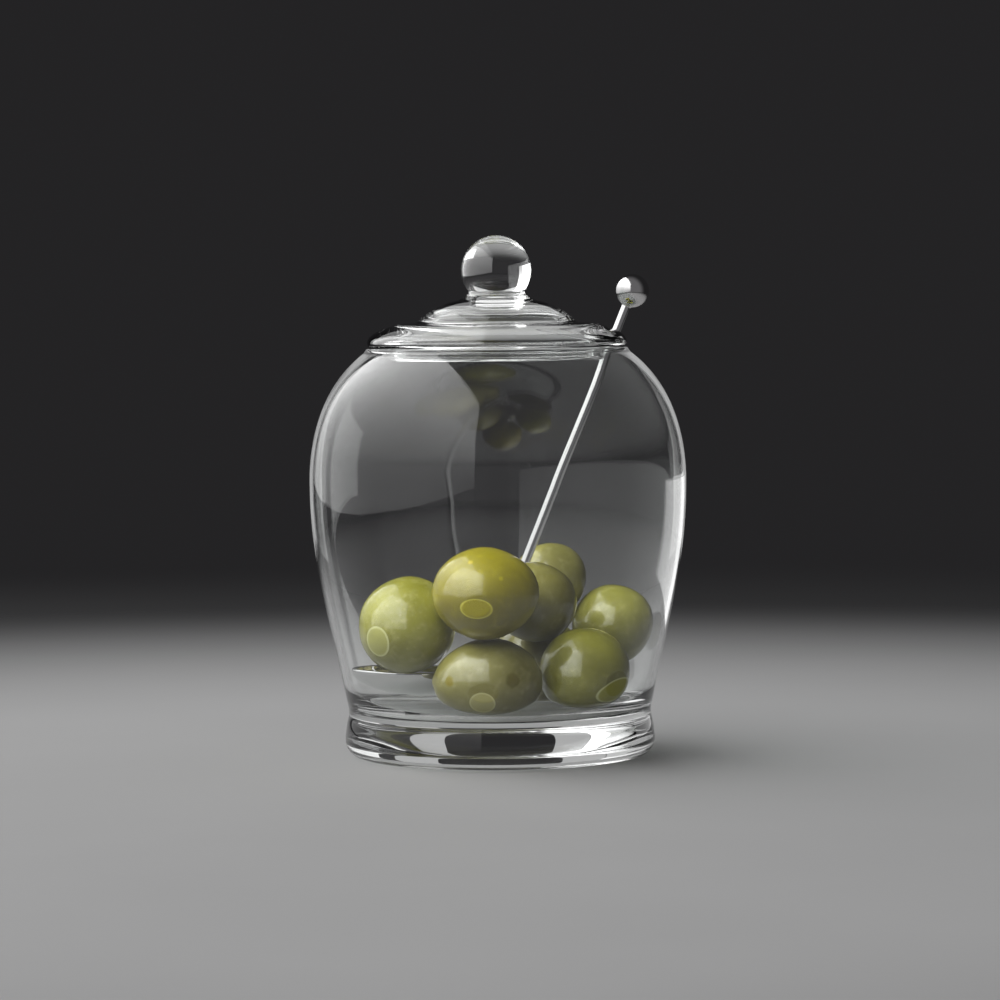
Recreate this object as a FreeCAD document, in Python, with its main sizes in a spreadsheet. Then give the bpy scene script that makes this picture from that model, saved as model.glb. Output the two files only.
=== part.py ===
import FreeCAD, Part
import math
import os
import re

import Sketcher

# An olive jar: a blown-glass jar with a thick foot, its glass lid with a ball knob and a notch for
# the spoon, a steel serving spoon that leans in that notch, and the olives inside.
#
# Frame: +Z up, the jar's axis on Z, the table at z = 0, the front towards -Y. Lengths are in
# millimetres and angles in degrees. Heights of the jar are above the table. Heights of the lid are
# above its seat, which is the underside of its brim.

JAR_SIZES = {
    "foot_radius": 41.5,
    "foot_round": 4.2,
    "foot_easing": 4.0,
    "waist_radius": 40.5,
    "waist_height": 11.7,
    "waist_easing": 1.4,
    "flank_start_radius": 41.0,
    "flank_start_height": 15.0,
    "flank_lean": 12.2,
    "flank_rise": 30.8,
    "flank_easing": 18.7,
    "belly_radius": 50.45,
    "belly_height": 73.8,
    "shoulder_easing": 8.0,
    "mouth_pull_out": 13.5,
    "mouth_pull_down": 10.2,
    "mouth_radius": 35.2,
    "mouth_height": 109.2,
    "rim_round": 0.6,
    "rim_width": 1.8,
    "bore_land": 1.0,
    "wall": 1.4,
    "floor_height": 12.3,
    "floor_round": 7.0,
}

LID_SIZES = {
    "seat_gap": 0.1,
    "brim_overhang": -0.5,
    "brim_edge_round": 1.3,
    "brim_fullness": 2.8,
    "brim_crown_pull": 5.8,
    "brim_height": 6.45,
    "step_width": 1.6,
    "step_round": 2.2,
    "dome_radius": 20.6,
    "dome_height": 7.3,
    "dome_curve": 20.0,
    "dome_top_radius": 11.0,
    "dome_top_height": 12.3,
    "neck_radius": 7.6,
    "neck_flare": 1.3,
    "knob_radius": 9.35,
    "knob_height": 20.4,
    "ring_clearance": 0.1,
    "ring_wall": 2.0,
    "ring_drop": 3.8,
    "ring_round": 0.9,
    "seat_fillet": 0.6,
    "ceiling_height": 4.0,
    "ceiling_round": 1.5,
    "hollow_radius": 18.0,
    "hollow_height": 11.1,
    "hollow_round": 0.9,
    "stub_radius": 6.9,
    "stub_bottom": 8.0,
    "stub_round": 1.4,
    "notch_clearance": 2.2,
}

SPOON_SIZES = {
    "spoon_turn": 20.3,
    "spoon_offset": 2.6,
    "spoon_gap": 0.2,
    "rod_radius": 1.25,
    "rod_length": 110.0,
    "ball_radius": 4.55,
    "bowl_half_length": 17.8,
    "bowl_half_width": 13.0,
    "bowl_depth": 6.6,
    "bowl_wall": 0.8,
    "bowl_rim_above_floor": 10.8,
    "bowl_tilt": 2.5,
}

# Each olive: half its length and width, its direction round the jar, how far its middle is from
# the jar's axis (None: it leans on the glass), the turn and rise of its long axis, and whether it
# lies on the floor or on the ones before it.
OLIVES = {
    name: dict(zip(("half", "azimuth", "reach", "turn", "rise", "on_floor"), row))
    for name, row in {
        "olive_1": ((13.8, 10.7), -95.5, None, 2, 0, True),
        "olive_2": ((12.3, 11.7), -43.0, None, 50, 25, True),
        "olive_3": ((12.5, 12.1), 12.0, 10.7, 70, 10, True),
        "olive_4": ((12.4, 10.9), 78.0, 27.0, 10, 0, True),
        "olive_5": ((13.0, 12.4), -139.6, None, -20, 60, False),
        "olive_6": ((13.7, 12.1), -95.8, None, -4, 0, False),
        "olive_7": ((11.3, 10.8), -55.0, 15.9, 0, 15, False),
        "olive_8": ((11.4, 10.7), 18.0, None, -30, 15, False),
        "olive_9": ((11.2, 10.3), 43.0, 17.5, 30, 30, False),
    }.items()
}

OLIVE_SIZES = {
    "olive_gap": 0.2,
    "scar_radius": 1.3,
    "scar_depth": 0.5,
}

# A quarter circle drawn as a cubic curve has its inner poles this far along the end tangents.
QUARTER_PULL = 0.5523


# ---------------------------------------------------------------- the document and its size sheet

doc = FreeCAD.newDocument("olive_jar")
sheet = doc.addObject("Spreadsheet::Sheet", "Sizes")
SIZES = {**JAR_SIZES, **LID_SIZES, **SPOON_SIZES, **OLIVE_SIZES}
for olive_name, olive in OLIVES.items():
    SIZES[olive_name + "_half_length"] = olive["half"][0]
    SIZES[olive_name + "_half_width"] = olive["half"][1]
for row, (size_name, size) in enumerate(SIZES.items(), start=1):
    sheet.set(f"A{row}", size_name)
    sheet.set(f"B{row}", str(size))
    sheet.setAlias(f"B{row}", size_name)
doc.recompute()


def value(expression):
    """What an expression of size names comes to."""
    return float(sheet.evalExpression(expression))


def linked(expression):
    """The same expression for an object outside the sheet: each size name led by the sheet's."""
    return re.sub(r"\b(" + "|".join(SIZES) + r")\b", r"Sizes.\1", expression)


# ---------------------------------------------------------------- outlines and turned bodies


def pin(sketch, geometry, position, corner):
    """Bind one point of a sketch to a corner's two expressions, or to the axes where one is 0."""
    for kind, axis, expression in (("DistanceX", -2, corner[0]), ("DistanceY", -1, corner[1])):
        if expression == "0":
            sketch.addConstraint(Sketcher.Constraint("PointOnObject", geometry, position, axis))
            continue
        number = sketch.addConstraint(
            Sketcher.Constraint(kind, geometry, position, value(expression))
        )
        sketch.setExpression(f"Constraints[{number}]", linked(expression))


def point(corner):
    """A corner's place on the sketch."""
    return FreeCAD.Vector(value(corner[0]), value(corner[1]), 0)


def add_line(sketch, start, end):
    """A straight edge. An edge is its number and which of its points are its first and last."""
    edge = sketch.addGeometry(Part.LineSegment(point(start), point(end)), False)
    return edge, 1, 2


def add_arc(sketch, start, end, radius):
    """The short arc from start to end, which turns left for a positive radius.

    A sketch keeps its arcs turning left, so one that turns right has its points the other way
    round.
    """
    turn = value(radius)
    chord = point(end) - point(start)
    left = FreeCAD.Vector(-chord.y, chord.x, 0).normalize()
    to_centre = math.copysign(math.sqrt(turn**2 - chord.Length**2 / 4), turn)
    centre = point(start) + chord / 2 + left * to_centre
    circle = Part.Circle(centre, FreeCAD.Vector(0, 0, 1), abs(turn))
    first, last = (start, end) if turn > 0 else (end, start)
    arc = Part.ArcOfCircle(circle, circle.parameter(point(first)), circle.parameter(point(last)))
    edge = sketch.addGeometry(arc, False)
    number = sketch.addConstraint(Sketcher.Constraint("Radius", edge, abs(turn)))
    sketch.setExpression(f"Constraints[{number}]", "abs(" + linked(radius) + ")")
    return (edge, 1, 2) if turn > 0 else (edge, 2, 1)


def add_curve(sketch, start, pulls, end):
    """A cubic curve with its four poles bound to their expressions."""
    corners = [start, *pulls, end]
    spline = Part.BSplineCurve([point(c) for c in corners], None, None, False, 3, None, False)
    edge = sketch.addGeometry(spline, False)
    for index, corner in enumerate(corners):
        pole = sketch.addGeometry(Part.Circle(point(corner), FreeCAD.Vector(0, 0, 1), 1), True)
        sketch.addConstraint(
            Sketcher.Constraint("InternalAlignment:Sketcher::BSplineControlPoint", pole, 3, edge, index)
        )
        sketch.addConstraint(Sketcher.Constraint("Weight", pole, 1.0))
        if index in (1, 2):
            pin(sketch, pole, 3, corner)
    return edge, 1, 2


def outline(body, start, steps):
    """A closed outline on the body's XZ plane, going left round its area.

    start is the first corner and each step one edge: ("line", corner), ("arc", radius, corner) or
    ("curve", pole, pole, corner). The last step is the straight edge along the axis, back to start.
    """
    plane = next(f for f in body.Origin.OriginFeatures if f.Role == "XZ_Plane")
    sketch = body.newObject("Sketcher::SketchObject", body.Name + "_outline")
    sketch.AttachmentSupport = [(plane, "")]
    sketch.MapMode = "FlatFace"
    ends = []
    corner = start
    for step in [*steps, ("line", start)]:
        if step[0] == "line":
            ends.append(add_line(sketch, corner, step[1]))
        elif step[0] == "arc":
            ends.append(add_arc(sketch, corner, step[2], step[1]))
        else:
            ends.append(add_curve(sketch, corner, step[1:3], step[3]))
        pin(sketch, ends[-1][0], ends[-1][1], corner)
        corner = step[-1]
    for (edge, _, last), (following, first, _) in zip(ends, ends[1:] + ends[:1]):
        sketch.addConstraint(Sketcher.Constraint("Coincident", edge, last, following, first))
    if sketch.solve() != 0:
        raise RuntimeError(sketch.Name + " has sizes that its outline can't hold")
    return sketch


def turned(name, start, steps):
    """A body turned round its own Z axis from an outline."""
    body = doc.addObject("PartDesign::Body", name)
    body.Label = name
    doc.recompute()
    sketch = outline(body, start, steps)
    turning = body.newObject("PartDesign::Revolution", name + "_turning")
    turning.Profile = sketch
    turning.ReferenceAxis = (sketch, ["V_Axis"])
    turning.Angle = 360
    sketch.Visibility = False
    doc.recompute()
    return body


# ---------------------------------------------------------------- the jar

FLANK_SLOPE = "tan(flank_lean)"
LOW_WALL_HEIGHT = "(floor_height + floor_round)"
LOW_WALL_RADIUS = (
    f"(flank_start_radius + ({LOW_WALL_HEIGHT} - flank_start_height) * {FLANK_SLOPE}"
    " - wall / cos(flank_lean))"
)
INNER_FLANK_RISE = f"(flank_start_height + flank_rise - {LOW_WALL_HEIGHT})"

BORE_RADIUS = "(mouth_radius - rim_width)"

# The inside of the glass from the floor's corner up to the belly, as the poles of one cubic curve.
INNER_FLANK = [
    (LOW_WALL_RADIUS, LOW_WALL_HEIGHT),
    (f"{LOW_WALL_RADIUS} + {INNER_FLANK_RISE} * {FLANK_SLOPE}", "flank_start_height + flank_rise"),
    ("belly_radius - wall", "belly_height - flank_easing"),
    ("belly_radius - wall", "belly_height"),
]

# The inside from the belly up to the bore of the mouth.
INNER_SHOULDER = [
    ("belly_radius - wall", "belly_height"),
    ("belly_radius - wall", "belly_height + shoulder_easing"),
    (
        "mouth_radius + mouth_pull_out - wall / sqrt(2)",
        "mouth_height - rim_round - mouth_pull_down - wall / sqrt(2)",
    ),
    (BORE_RADIUS, "mouth_height - bore_land"),
]


def make_jar():
    """One blown piece: a thick foot, a waist, a leaning flank, a belly and a drawn-in shoulder."""
    rim_top = "mouth_height"
    return turned(
        "jar",
        ("0", "0"),
        [
            ("line", ("foot_radius - foot_round", "0")),
            ("arc", "foot_round", ("foot_radius", "foot_round")),
            (
                "curve",
                ("foot_radius", "foot_round + foot_easing"),
                ("waist_radius", "waist_height - waist_easing"),
                ("waist_radius", "waist_height"),
            ),
            (
                "curve",
                ("waist_radius", "waist_height + waist_easing"),
                (
                    f"flank_start_radius - waist_easing * {FLANK_SLOPE}",
                    "flank_start_height - waist_easing",
                ),
                ("flank_start_radius", "flank_start_height"),
            ),
            (
                "curve",
                (
                    f"flank_start_radius + flank_rise * {FLANK_SLOPE}",
                    "flank_start_height + flank_rise",
                ),
                ("belly_radius", "belly_height - flank_easing"),
                ("belly_radius", "belly_height"),
            ),
            (
                "curve",
                ("belly_radius", "belly_height + shoulder_easing"),
                (
                    "mouth_radius + mouth_pull_out",
                    "mouth_height - rim_round - mouth_pull_down",
                ),
                ("mouth_radius", "mouth_height - rim_round"),
            ),
            ("arc", "rim_round", ("mouth_radius - rim_round", rim_top)),
            ("line", (f"{BORE_RADIUS} + rim_round", rim_top)),
            ("arc", "rim_round", (BORE_RADIUS, "mouth_height - rim_round")),
            ("line", INNER_SHOULDER[3]),
            ("curve", INNER_SHOULDER[2], INNER_SHOULDER[1], INNER_SHOULDER[0]),
            ("curve", INNER_FLANK[2], INNER_FLANK[1], INNER_FLANK[0]),
            (
                "curve",
                (
                    f"{LOW_WALL_RADIUS} - {QUARTER_PULL} * floor_round * {FLANK_SLOPE}",
                    f"{LOW_WALL_HEIGHT} - {QUARTER_PULL} * floor_round",
                ),
                (f"{LOW_WALL_RADIUS} - (1 - {QUARTER_PULL}) * floor_round", "floor_height"),
                (f"{LOW_WALL_RADIUS} - floor_round", "floor_height"),
            ),
            ("line", ("0", "floor_height")),
        ],
    )


def wall_at(height):
    """The glass's inner radius at a height of the flank or shoulder, and its lean from upright."""
    poles = INNER_FLANK if height < value("belly_height") else INNER_SHOULDER
    curve = Part.BezierCurve()
    curve.setPoles([point(pole) for pole in poles])
    low, high = 0.0, 1.0
    while high - low > 1e-6:
        middle = (low + high) / 2
        if curve.value(middle).y < height:
            low = middle
        else:
            high = middle
    direction = curve.tangent(low)[0]
    return curve.value(low).x, math.atan2(direction.x, direction.y)


# ---------------------------------------------------------------- the lid

BRIM_RADIUS = "(mouth_radius + brim_overhang)"


def make_lid(spoon):
    """One pressed piece with a hollow dome, a solid ball knob and a ring that sits in the mouth.

    The ring is small enough to leave the spoon's rod room between itself and the mouth.
    """
    ring_radius = f"({spoon['rod_nearest_at_ring']:.4f} - ring_clearance)"
    ring_inner = f"({ring_radius} - ring_wall)"
    body = turned(
        "lid",
        ("0", "stub_bottom"),
        [
            ("line", ("stub_radius - stub_round", "stub_bottom")),
            ("arc", "stub_round", ("stub_radius", "stub_bottom + stub_round")),
            ("arc", "-stub_round", ("stub_radius + stub_round", "stub_bottom + 2 * stub_round")),
            (
                "curve",
                ("(stub_radius + hollow_radius) / 2 + stub_round", "hollow_height"),
                ("hollow_radius", "(hollow_height + ceiling_height) / 2 + hollow_round"),
                ("hollow_radius", "ceiling_height + hollow_round"),
            ),
            ("arc", "hollow_round", ("hollow_radius + hollow_round", "ceiling_height")),
            ("line", (f"{ring_inner} - ceiling_round", "ceiling_height")),
            ("arc", "-ceiling_round", (ring_inner, "ceiling_height - ceiling_round")),
            ("line", (ring_inner, "ring_round - ring_drop")),
            ("arc", "ring_round", (f"{ring_inner} + ring_round", "-ring_drop")),
            ("line", (f"{ring_radius} - ring_round", "-ring_drop")),
            ("arc", "ring_round", (ring_radius, "ring_round - ring_drop")),
            ("line", (ring_radius, "-seat_fillet")),
            ("arc", "-seat_fillet", (f"{ring_radius} + seat_fillet", "0")),
            ("line", (f"{BRIM_RADIUS} - brim_edge_round", "0")),
            ("arc", "brim_edge_round", (BRIM_RADIUS, "brim_edge_round")),
            (
                "curve",
                (BRIM_RADIUS, "brim_edge_round + brim_fullness"),
                ("dome_radius + step_width + brim_crown_pull", "brim_height"),
                ("dome_radius + step_width", "brim_height"),
            ),
            ("arc", "-step_round", ("dome_radius", "dome_height")),
            ("arc", "dome_curve", ("dome_top_radius", "dome_top_height")),
            (
                "curve",
                ("dome_top_radius - neck_flare", "dome_top_height + neck_flare / 4"),
                (
                    "neck_radius - neck_flare / 6",
                    "knob_height - sqrt(knob_radius^2 - neck_radius^2) - neck_flare",
                ),
                ("neck_radius", "knob_height - sqrt(knob_radius^2 - neck_radius^2)"),
            ),
            ("arc", "knob_radius", ("0", "knob_height + knob_radius")),
        ],
    )
    cut_notch(body, spoon)
    body.Placement = FreeCAD.Placement(
        FreeCAD.Vector(0, 0, value("mouth_height + seat_gap")),
        FreeCAD.Rotation(FreeCAD.Vector(0, 0, 1), spoon["notch_azimuth"]),
    )
    return body


def cut_notch(body, spoon):
    """A slot in the brim's edge, along the body's own +X, with a round inner end.

    Its width and depth are the rod's, where it passes the brim, and the notch clearance.
    """
    whole = body.Shape.Volume
    half_width = value("rod_radius + notch_clearance")
    inner_end = spoon["rod_nearest_at_seat"] - value("notch_clearance") / 2
    centre = inner_end + half_width
    outside = value(BRIM_RADIUS) + half_width
    plane = next(f for f in body.Origin.OriginFeatures if f.Role == "XY_Plane")
    sketch = body.newObject("Sketcher::SketchObject", "lid_notch_outline")
    sketch.AttachmentSupport = [(plane, "")]
    sketch.MapMode = "FlatFace"
    circle = Part.Circle(FreeCAD.Vector(centre, 0, 0), FreeCAD.Vector(0, 0, 1), half_width)
    sketch.addGeometry(Part.ArcOfCircle(circle, math.pi / 2, 3 * math.pi / 2), False)
    corners = [
        FreeCAD.Vector(centre, -half_width, 0),
        FreeCAD.Vector(outside, -half_width, 0),
        FreeCAD.Vector(outside, half_width, 0),
        FreeCAD.Vector(centre, half_width, 0),
    ]
    for start, end in zip(corners, corners[1:]):
        sketch.addGeometry(Part.LineSegment(start, end), False)
    joins = [(0, 2, 1, 1), (1, 2, 2, 1), (2, 2, 3, 1), (3, 2, 0, 1)]
    for join in joins:
        sketch.addConstraint(Sketcher.Constraint("Coincident", *join))
    pocket = body.newObject("PartDesign::Pocket", "lid_notch")
    pocket.Profile = sketch
    pocket.Type = "ThroughAll"
    pocket.Midplane = True
    sketch.Visibility = False
    doc.recompute()
    if body.Shape.Volume > whole - 1:
        raise RuntimeError("the notch cuts nothing from the brim")


# ---------------------------------------------------------------- the spoon


def place_spoon():
    """Where the spoon lies: it leans on the mouth's bore, and its bowl's tip is at the glass.

    All its points lie in one upright plane, turned by spoon_turn and spoon_offset in front of the
    jar's axis. "along" is the distance in that plane from the foot of the axis.
    """
    offset = value("spoon_offset")
    gap = value("spoon_gap")
    tilt = math.radians(value("bowl_tilt"))
    length = 2 * value("bowl_half_length")
    low = value("floor_height + bowl_rim_above_floor")
    tip_height = low + length * math.sin(tilt)
    tip_reach = wall_at(tip_height)[0] - gap
    tip_along = -math.sqrt(tip_reach**2 - offset**2)
    end = FreeCAD.Vector(tip_along + length * math.cos(tilt), -offset, low)
    lean = 0.0
    for _ in range(20):
        rod_reach = value(f"{BORE_RADIUS} - spoon_gap") - value("rod_radius") / math.cos(lean)
        mouth_along = math.sqrt(rod_reach**2 - offset**2)
        lean = math.atan2(mouth_along - end.x, value("mouth_height") - end.z)
    direction = FreeCAD.Vector(math.sin(lean), 0, math.cos(lean))
    seat = value("mouth_height + seat_gap")

    def rod_at(height):
        return end + direction * ((height - end.z) / direction.z)

    def rod_nearest(height):
        middle = rod_at(height)
        return math.hypot(middle.x, middle.y) - value("rod_radius") / math.cos(lean)

    in_brim = rod_at(seat + value("brim_height") / 2)
    return {
        "tip": FreeCAD.Vector(tip_along, -offset, tip_height),
        "end": end,
        "direction": direction,
        "lean": math.degrees(lean),
        "ball": end + direction * value("rod_length"),
        "notch_azimuth": value("spoon_turn") + math.degrees(math.atan2(in_brim.y, in_brim.x)),
        "rod_nearest_at_seat": rod_nearest(seat),
        "rod_nearest_at_ring": rod_nearest(seat - value("ring_drop")),
    }


def primitive(kind, name, sizes, placement):
    """A Part primitive with its sizes bound to the sheet."""
    thing = doc.addObject("Part::" + kind, name)
    for key, expression in sizes.items():
        thing.setExpression(key, linked(expression))
    thing.Placement = placement
    return thing


def make_spoon(place):
    """A rod with a ball at its top and an oval bowl welded to its foot, as one piece of steel."""
    upright = FreeCAD.Rotation()
    leaning = FreeCAD.Rotation(FreeCAD.Vector(0, 1, 0), place["lean"])
    level = FreeCAD.Rotation(FreeCAD.Vector(0, 1, 0), value("bowl_tilt"))
    bowl_middle = (place["tip"] + place["end"]) / 2
    rod = primitive(
        "Cylinder",
        "spoon_rod",
        {"Radius": "rod_radius", "Height": "rod_length"},
        FreeCAD.Placement(place["end"], leaning),
    )
    foot = primitive(
        "Sphere", "spoon_rod_foot", {"Radius": "rod_radius"}, FreeCAD.Placement(place["end"], upright)
    )
    ball = primitive(
        "Sphere", "spoon_ball", {"Radius": "ball_radius"}, FreeCAD.Placement(place["ball"], upright)
    )
    outside = primitive(
        "Ellipsoid",
        "spoon_bowl_outside",
        {
            "Radius1": "bowl_depth",
            "Radius2": "bowl_half_length",
            "Radius3": "bowl_half_width",
        },
        FreeCAD.Placement(bowl_middle, level),
    )
    outside.Angle2 = 0
    inside = primitive(
        "Ellipsoid",
        "spoon_bowl_inside",
        {
            "Radius1": "bowl_depth - bowl_wall",
            "Radius2": "bowl_half_length - bowl_wall",
            "Radius3": "bowl_half_width - bowl_wall",
        },
        FreeCAD.Placement(bowl_middle, level),
    )
    bowl = doc.addObject("Part::Cut", "spoon_bowl")
    bowl.Base = outside
    bowl.Tool = inside
    bowl_and_rod = doc.addObject("Part::MultiFuse", "spoon_whole")
    bowl_and_rod.Shapes = [bowl, rod, foot, ball]
    bowl_and_rod.Label = "spoon"
    bowl_and_rod.Placement = spoon_plane()
    doc.recompute()
    return bowl_and_rod


# ---------------------------------------------------------------- the olives


def support(olive, direction):
    """How far an olive reaches from its middle in a direction."""
    along = olive["axis"].dot(direction)
    return math.sqrt(olive["wide"] ** 2 + (olive["long"] ** 2 - olive["wide"] ** 2) * along**2)


def stand_at(olive, height):
    """Put the olive's middle at a height: at its reach from the axis, or leaning on the glass."""
    azimuth = math.radians(olive["azimuth"])
    outward = FreeCAD.Vector(math.cos(azimuth), math.sin(azimuth), 0)
    reach = olive["reach"]
    if reach is None:
        glass, lean = wall_at(height)
        to_glass = outward * math.cos(lean) - FreeCAD.Vector(0, 0, math.sin(lean))
        reach = glass - (support(olive, to_glass) + value("olive_gap")) / math.cos(lean)
    olive["middle"] = outward * reach + FreeCAD.Vector(0, 0, height)


def bowl_points(place):
    """Points over the inside of the spoon's bowl and round its rim's outer edge."""
    level = FreeCAD.Placement(
        (place["tip"] + place["end"]) / 2,
        FreeCAD.Rotation(FreeCAD.Vector(0, 1, 0), value("bowl_tilt")),
    )
    whole = (value("bowl_half_length"), value("bowl_half_width"), value("bowl_depth"))
    hollow = tuple(size - value("bowl_wall") for size in whole)
    plane = spoon_plane()
    points = []
    for (half_length, half_width, depth), dips in ((whole, [0]), (hollow, range(0, 90, 10))):
        for dip in map(math.radians, dips):
            for turn in map(math.radians, range(0, 360, 4)):
                spot = FreeCAD.Vector(
                    half_length * math.cos(dip) * math.cos(turn),
                    half_width * math.cos(dip) * math.sin(turn),
                    -depth * math.sin(dip),
                )
                points.append(plane.multVec(level.multVec(spot)))
    return points


def spoon_plane():
    """The turn of the spoon's upright plane about the jar's axis."""
    return FreeCAD.Placement(
        FreeCAD.Vector(0, 0, 0),
        FreeCAD.Rotation(FreeCAD.Vector(0, 0, 1), value("spoon_turn")),
    )


def clearance(olive, settled, rod, bowl):
    """The least room between an olive and the floor, the spoon and the olives already in.

    Two olives are apart by their distance less both their reaches along the line between them,
    which never says more than the true gap.
    """
    middle = olive["middle"]
    room = [middle.z - support(olive, FreeCAD.Vector(0, 0, 1)) - value("floor_height")]
    for other in settled:
        between = other["middle"] - middle
        toward = FreeCAD.Vector(between).normalize()
        room.append(between.Length - support(olive, toward) - support(other, toward))
    foot, direction = rod
    across = (middle - foot) - direction * (middle - foot).dot(direction)
    side = FreeCAD.Vector(across).normalize()
    room.append(across.Length - support(olive, side) - value("rod_radius"))
    for spot in bowl:
        offset = spot - middle
        side = FreeCAD.Vector(offset).normalize()
        room.append(offset.Length - support(olive, side))
    return min(room)


def settle(olive, settled, rod, bowl):
    """Find the lowest height at which an olive is clear of everything that is already in.

    One that lies on the floor slides outwards instead.
    """
    gap = value("olive_gap")
    step = 0.5
    if olive["on_floor"]:
        stand_at(olive, value("floor_height") + support(olive, FreeCAD.Vector(0, 0, 1)) + gap)
        while olive["reach"] and clearance(olive, settled, rod, bowl) < gap - 0.001:
            olive["reach"] += step
            stand_at(olive, olive["middle"].z)
        return
    high = value("floor_height") + support(olive, FreeCAD.Vector(0, 0, 1)) - step
    stand_at(olive, high)
    while clearance(olive, settled, rod, bowl) < gap:
        high += step
        stand_at(olive, high)
    low = high - step
    while high - low > 0.001:
        middle = (low + high) / 2
        stand_at(olive, middle)
        if clearance(olive, settled, rod, bowl) < gap:
            low = middle
        else:
            high = middle
    stand_at(olive, high)


def make_olive(name, olive):
    """One olive, turned round its long axis, with the small scar of its stem at the upper end."""
    length = name + "_half_length"
    width = name + "_half_width"
    body = turned(
        name,
        ("0", "-" + length),
        [
            (
                "curve",
                (f"{QUARTER_PULL} * {width}", "-" + length),
                (width, f"-{QUARTER_PULL} * {length}"),
                (width, "0"),
            ),
            (
                "curve",
                (width, f"{QUARTER_PULL} * {length}"),
                (f"{QUARTER_PULL} * {width}", length),
                ("scar_radius", length),
            ),
            (
                "curve",
                ("scar_radius / 2", length),
                ("scar_radius / 2", f"{length} - scar_depth"),
                ("0", f"{length} - scar_depth"),
            ),
        ],
    )
    body.Placement = FreeCAD.Placement(
        olive["middle"],
        FreeCAD.Rotation(FreeCAD.Vector(0, 0, 1), olive["axis"]),
    )
    return body


def make_olives(place):
    """All the olives, each let down onto the ones before it."""
    plane = spoon_plane()
    rod = (plane.multVec(place["end"]), plane.multVec(place["direction"]))
    bowl = bowl_points(place)
    settled = []
    bodies = {}
    for name, olive in OLIVES.items():
        turn, rise = math.radians(olive["turn"]), math.radians(olive["rise"])
        olive["long"], olive["wide"] = value(name + "_half_length"), value(name + "_half_width")
        olive["axis"] = FreeCAD.Vector(
            math.cos(rise) * math.cos(turn), math.cos(rise) * math.sin(turn), math.sin(rise)
        )
        settle(olive, settled, rod, bowl)
        settled.append(olive)
        bodies[name] = make_olive(name, olive)
    return bodies


# ---------------------------------------------------------------- the whole, its checks and its files


def check_and_write(pieces):
    """Every object sound, every piece one valid solid, then one file for each piece."""
    doc.recompute()
    for thing in doc.Objects:
        if "Invalid" in thing.State or "Error" in thing.State:
            raise RuntimeError(f"{thing.Name} is in state {thing.State}")
    for name, piece in pieces.items():
        shape = piece.Shape
        if shape.isNull() or not shape.isValid() or len(shape.Solids) != 1:
            raise RuntimeError(name + " isn't one valid solid")
    os.makedirs("parts", exist_ok=True)
    for name, piece in pieces.items():
        piece.Shape.exportStep(f"parts/{name}.step")
        print(f"{name}: {piece.Shape.Volume / 1000:.2f} cm3")


spoon_place = place_spoon()
pieces = {
    "jar": make_jar(),
    "lid": make_lid(spoon_place),
    "spoon": make_spoon(spoon_place),
    **make_olives(spoon_place),
}
check_and_write(pieces)
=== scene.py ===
# %% [markdown]
# # An olive jar in glass, steel and wet skin
# The object is a small serving jar: a thick-footed glass body, a glass lid with a solid ball for a
# knob, a steel spoon that leaves through a notch in the lid, and nine large green olives. The
# measured solids come first and never move. Each new piece is laid over one of them, so that sizes
# stay true while the surfaces become as smooth or as uneven as the real ones.

# %% The measured solids
import math

import bpy
import numpy as np
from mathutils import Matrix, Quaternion, Vector


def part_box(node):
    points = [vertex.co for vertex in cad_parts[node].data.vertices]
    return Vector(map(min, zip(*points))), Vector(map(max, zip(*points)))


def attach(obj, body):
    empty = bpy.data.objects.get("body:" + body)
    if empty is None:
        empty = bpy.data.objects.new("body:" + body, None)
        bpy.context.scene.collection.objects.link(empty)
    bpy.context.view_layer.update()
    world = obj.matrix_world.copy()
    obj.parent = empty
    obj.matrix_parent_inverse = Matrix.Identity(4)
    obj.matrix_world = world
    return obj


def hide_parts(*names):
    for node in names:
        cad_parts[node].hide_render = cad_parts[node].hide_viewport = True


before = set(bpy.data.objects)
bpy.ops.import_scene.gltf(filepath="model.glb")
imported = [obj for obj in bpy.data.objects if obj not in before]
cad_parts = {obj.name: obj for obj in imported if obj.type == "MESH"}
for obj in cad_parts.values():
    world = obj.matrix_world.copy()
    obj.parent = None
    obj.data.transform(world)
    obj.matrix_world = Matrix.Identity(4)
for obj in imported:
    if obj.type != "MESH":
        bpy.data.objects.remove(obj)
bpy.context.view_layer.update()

MM = 0.001
print("solids:", sorted(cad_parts))

# %% [markdown]
# ## The camera
# Glassware is drawn at eye level with a long lens, because its outline is what tells the shape. The
# eye stands about a metre away, a little higher than the lid's brim, so the foot shows as a flat
# oval and the rim of the lid almost closes to a line. A camera looks along its own -Z, so aiming it
# is a matter of turning -Z onto the line of sight.

# %% The camera
EYE = Vector((0.0005, -1.0600, 0.1253))
AIM = Vector((0.0005, 0.0, 0.0683))
FOCAL_LENGTH = 142.7
ROLL = math.radians(-0.5)
NEAREST, FARTHEST = 0.05, 30.0

camera_data = bpy.data.cameras.new("camera")
camera_data.lens = FOCAL_LENGTH
camera_data.clip_start = NEAREST
camera_data.clip_end = FARTHEST
camera = bpy.data.objects.new("camera", camera_data)
camera.location = EYE
camera.rotation_mode = "QUATERNION"
line_of_sight = (AIM - EYE).to_track_quat("-Z", "Y")
camera.rotation_quaternion = line_of_sight @ Quaternion((0, 0, 1), ROLL)
bpy.context.scene.collection.objects.link(camera)
bpy.context.scene.camera = camera
bpy.context.scene.view_settings.view_transform = "Standard"
print("camera at", tuple(EYE), "lens", FOCAL_LENGTH)

# %% [markdown]
# ## Drawing a section
# Blown and pressed glass is round about one axis, so each glass piece is half of a section, drawn
# once as points of (radius, height), and carried round the axis. A section is made of straight
# lines, arcs and cubic curves, the same ones that shaped the solids. Arcs are given by their two
# ends and a radius, as on a drawing: a positive radius turns left on the way, a negative one right.

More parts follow.
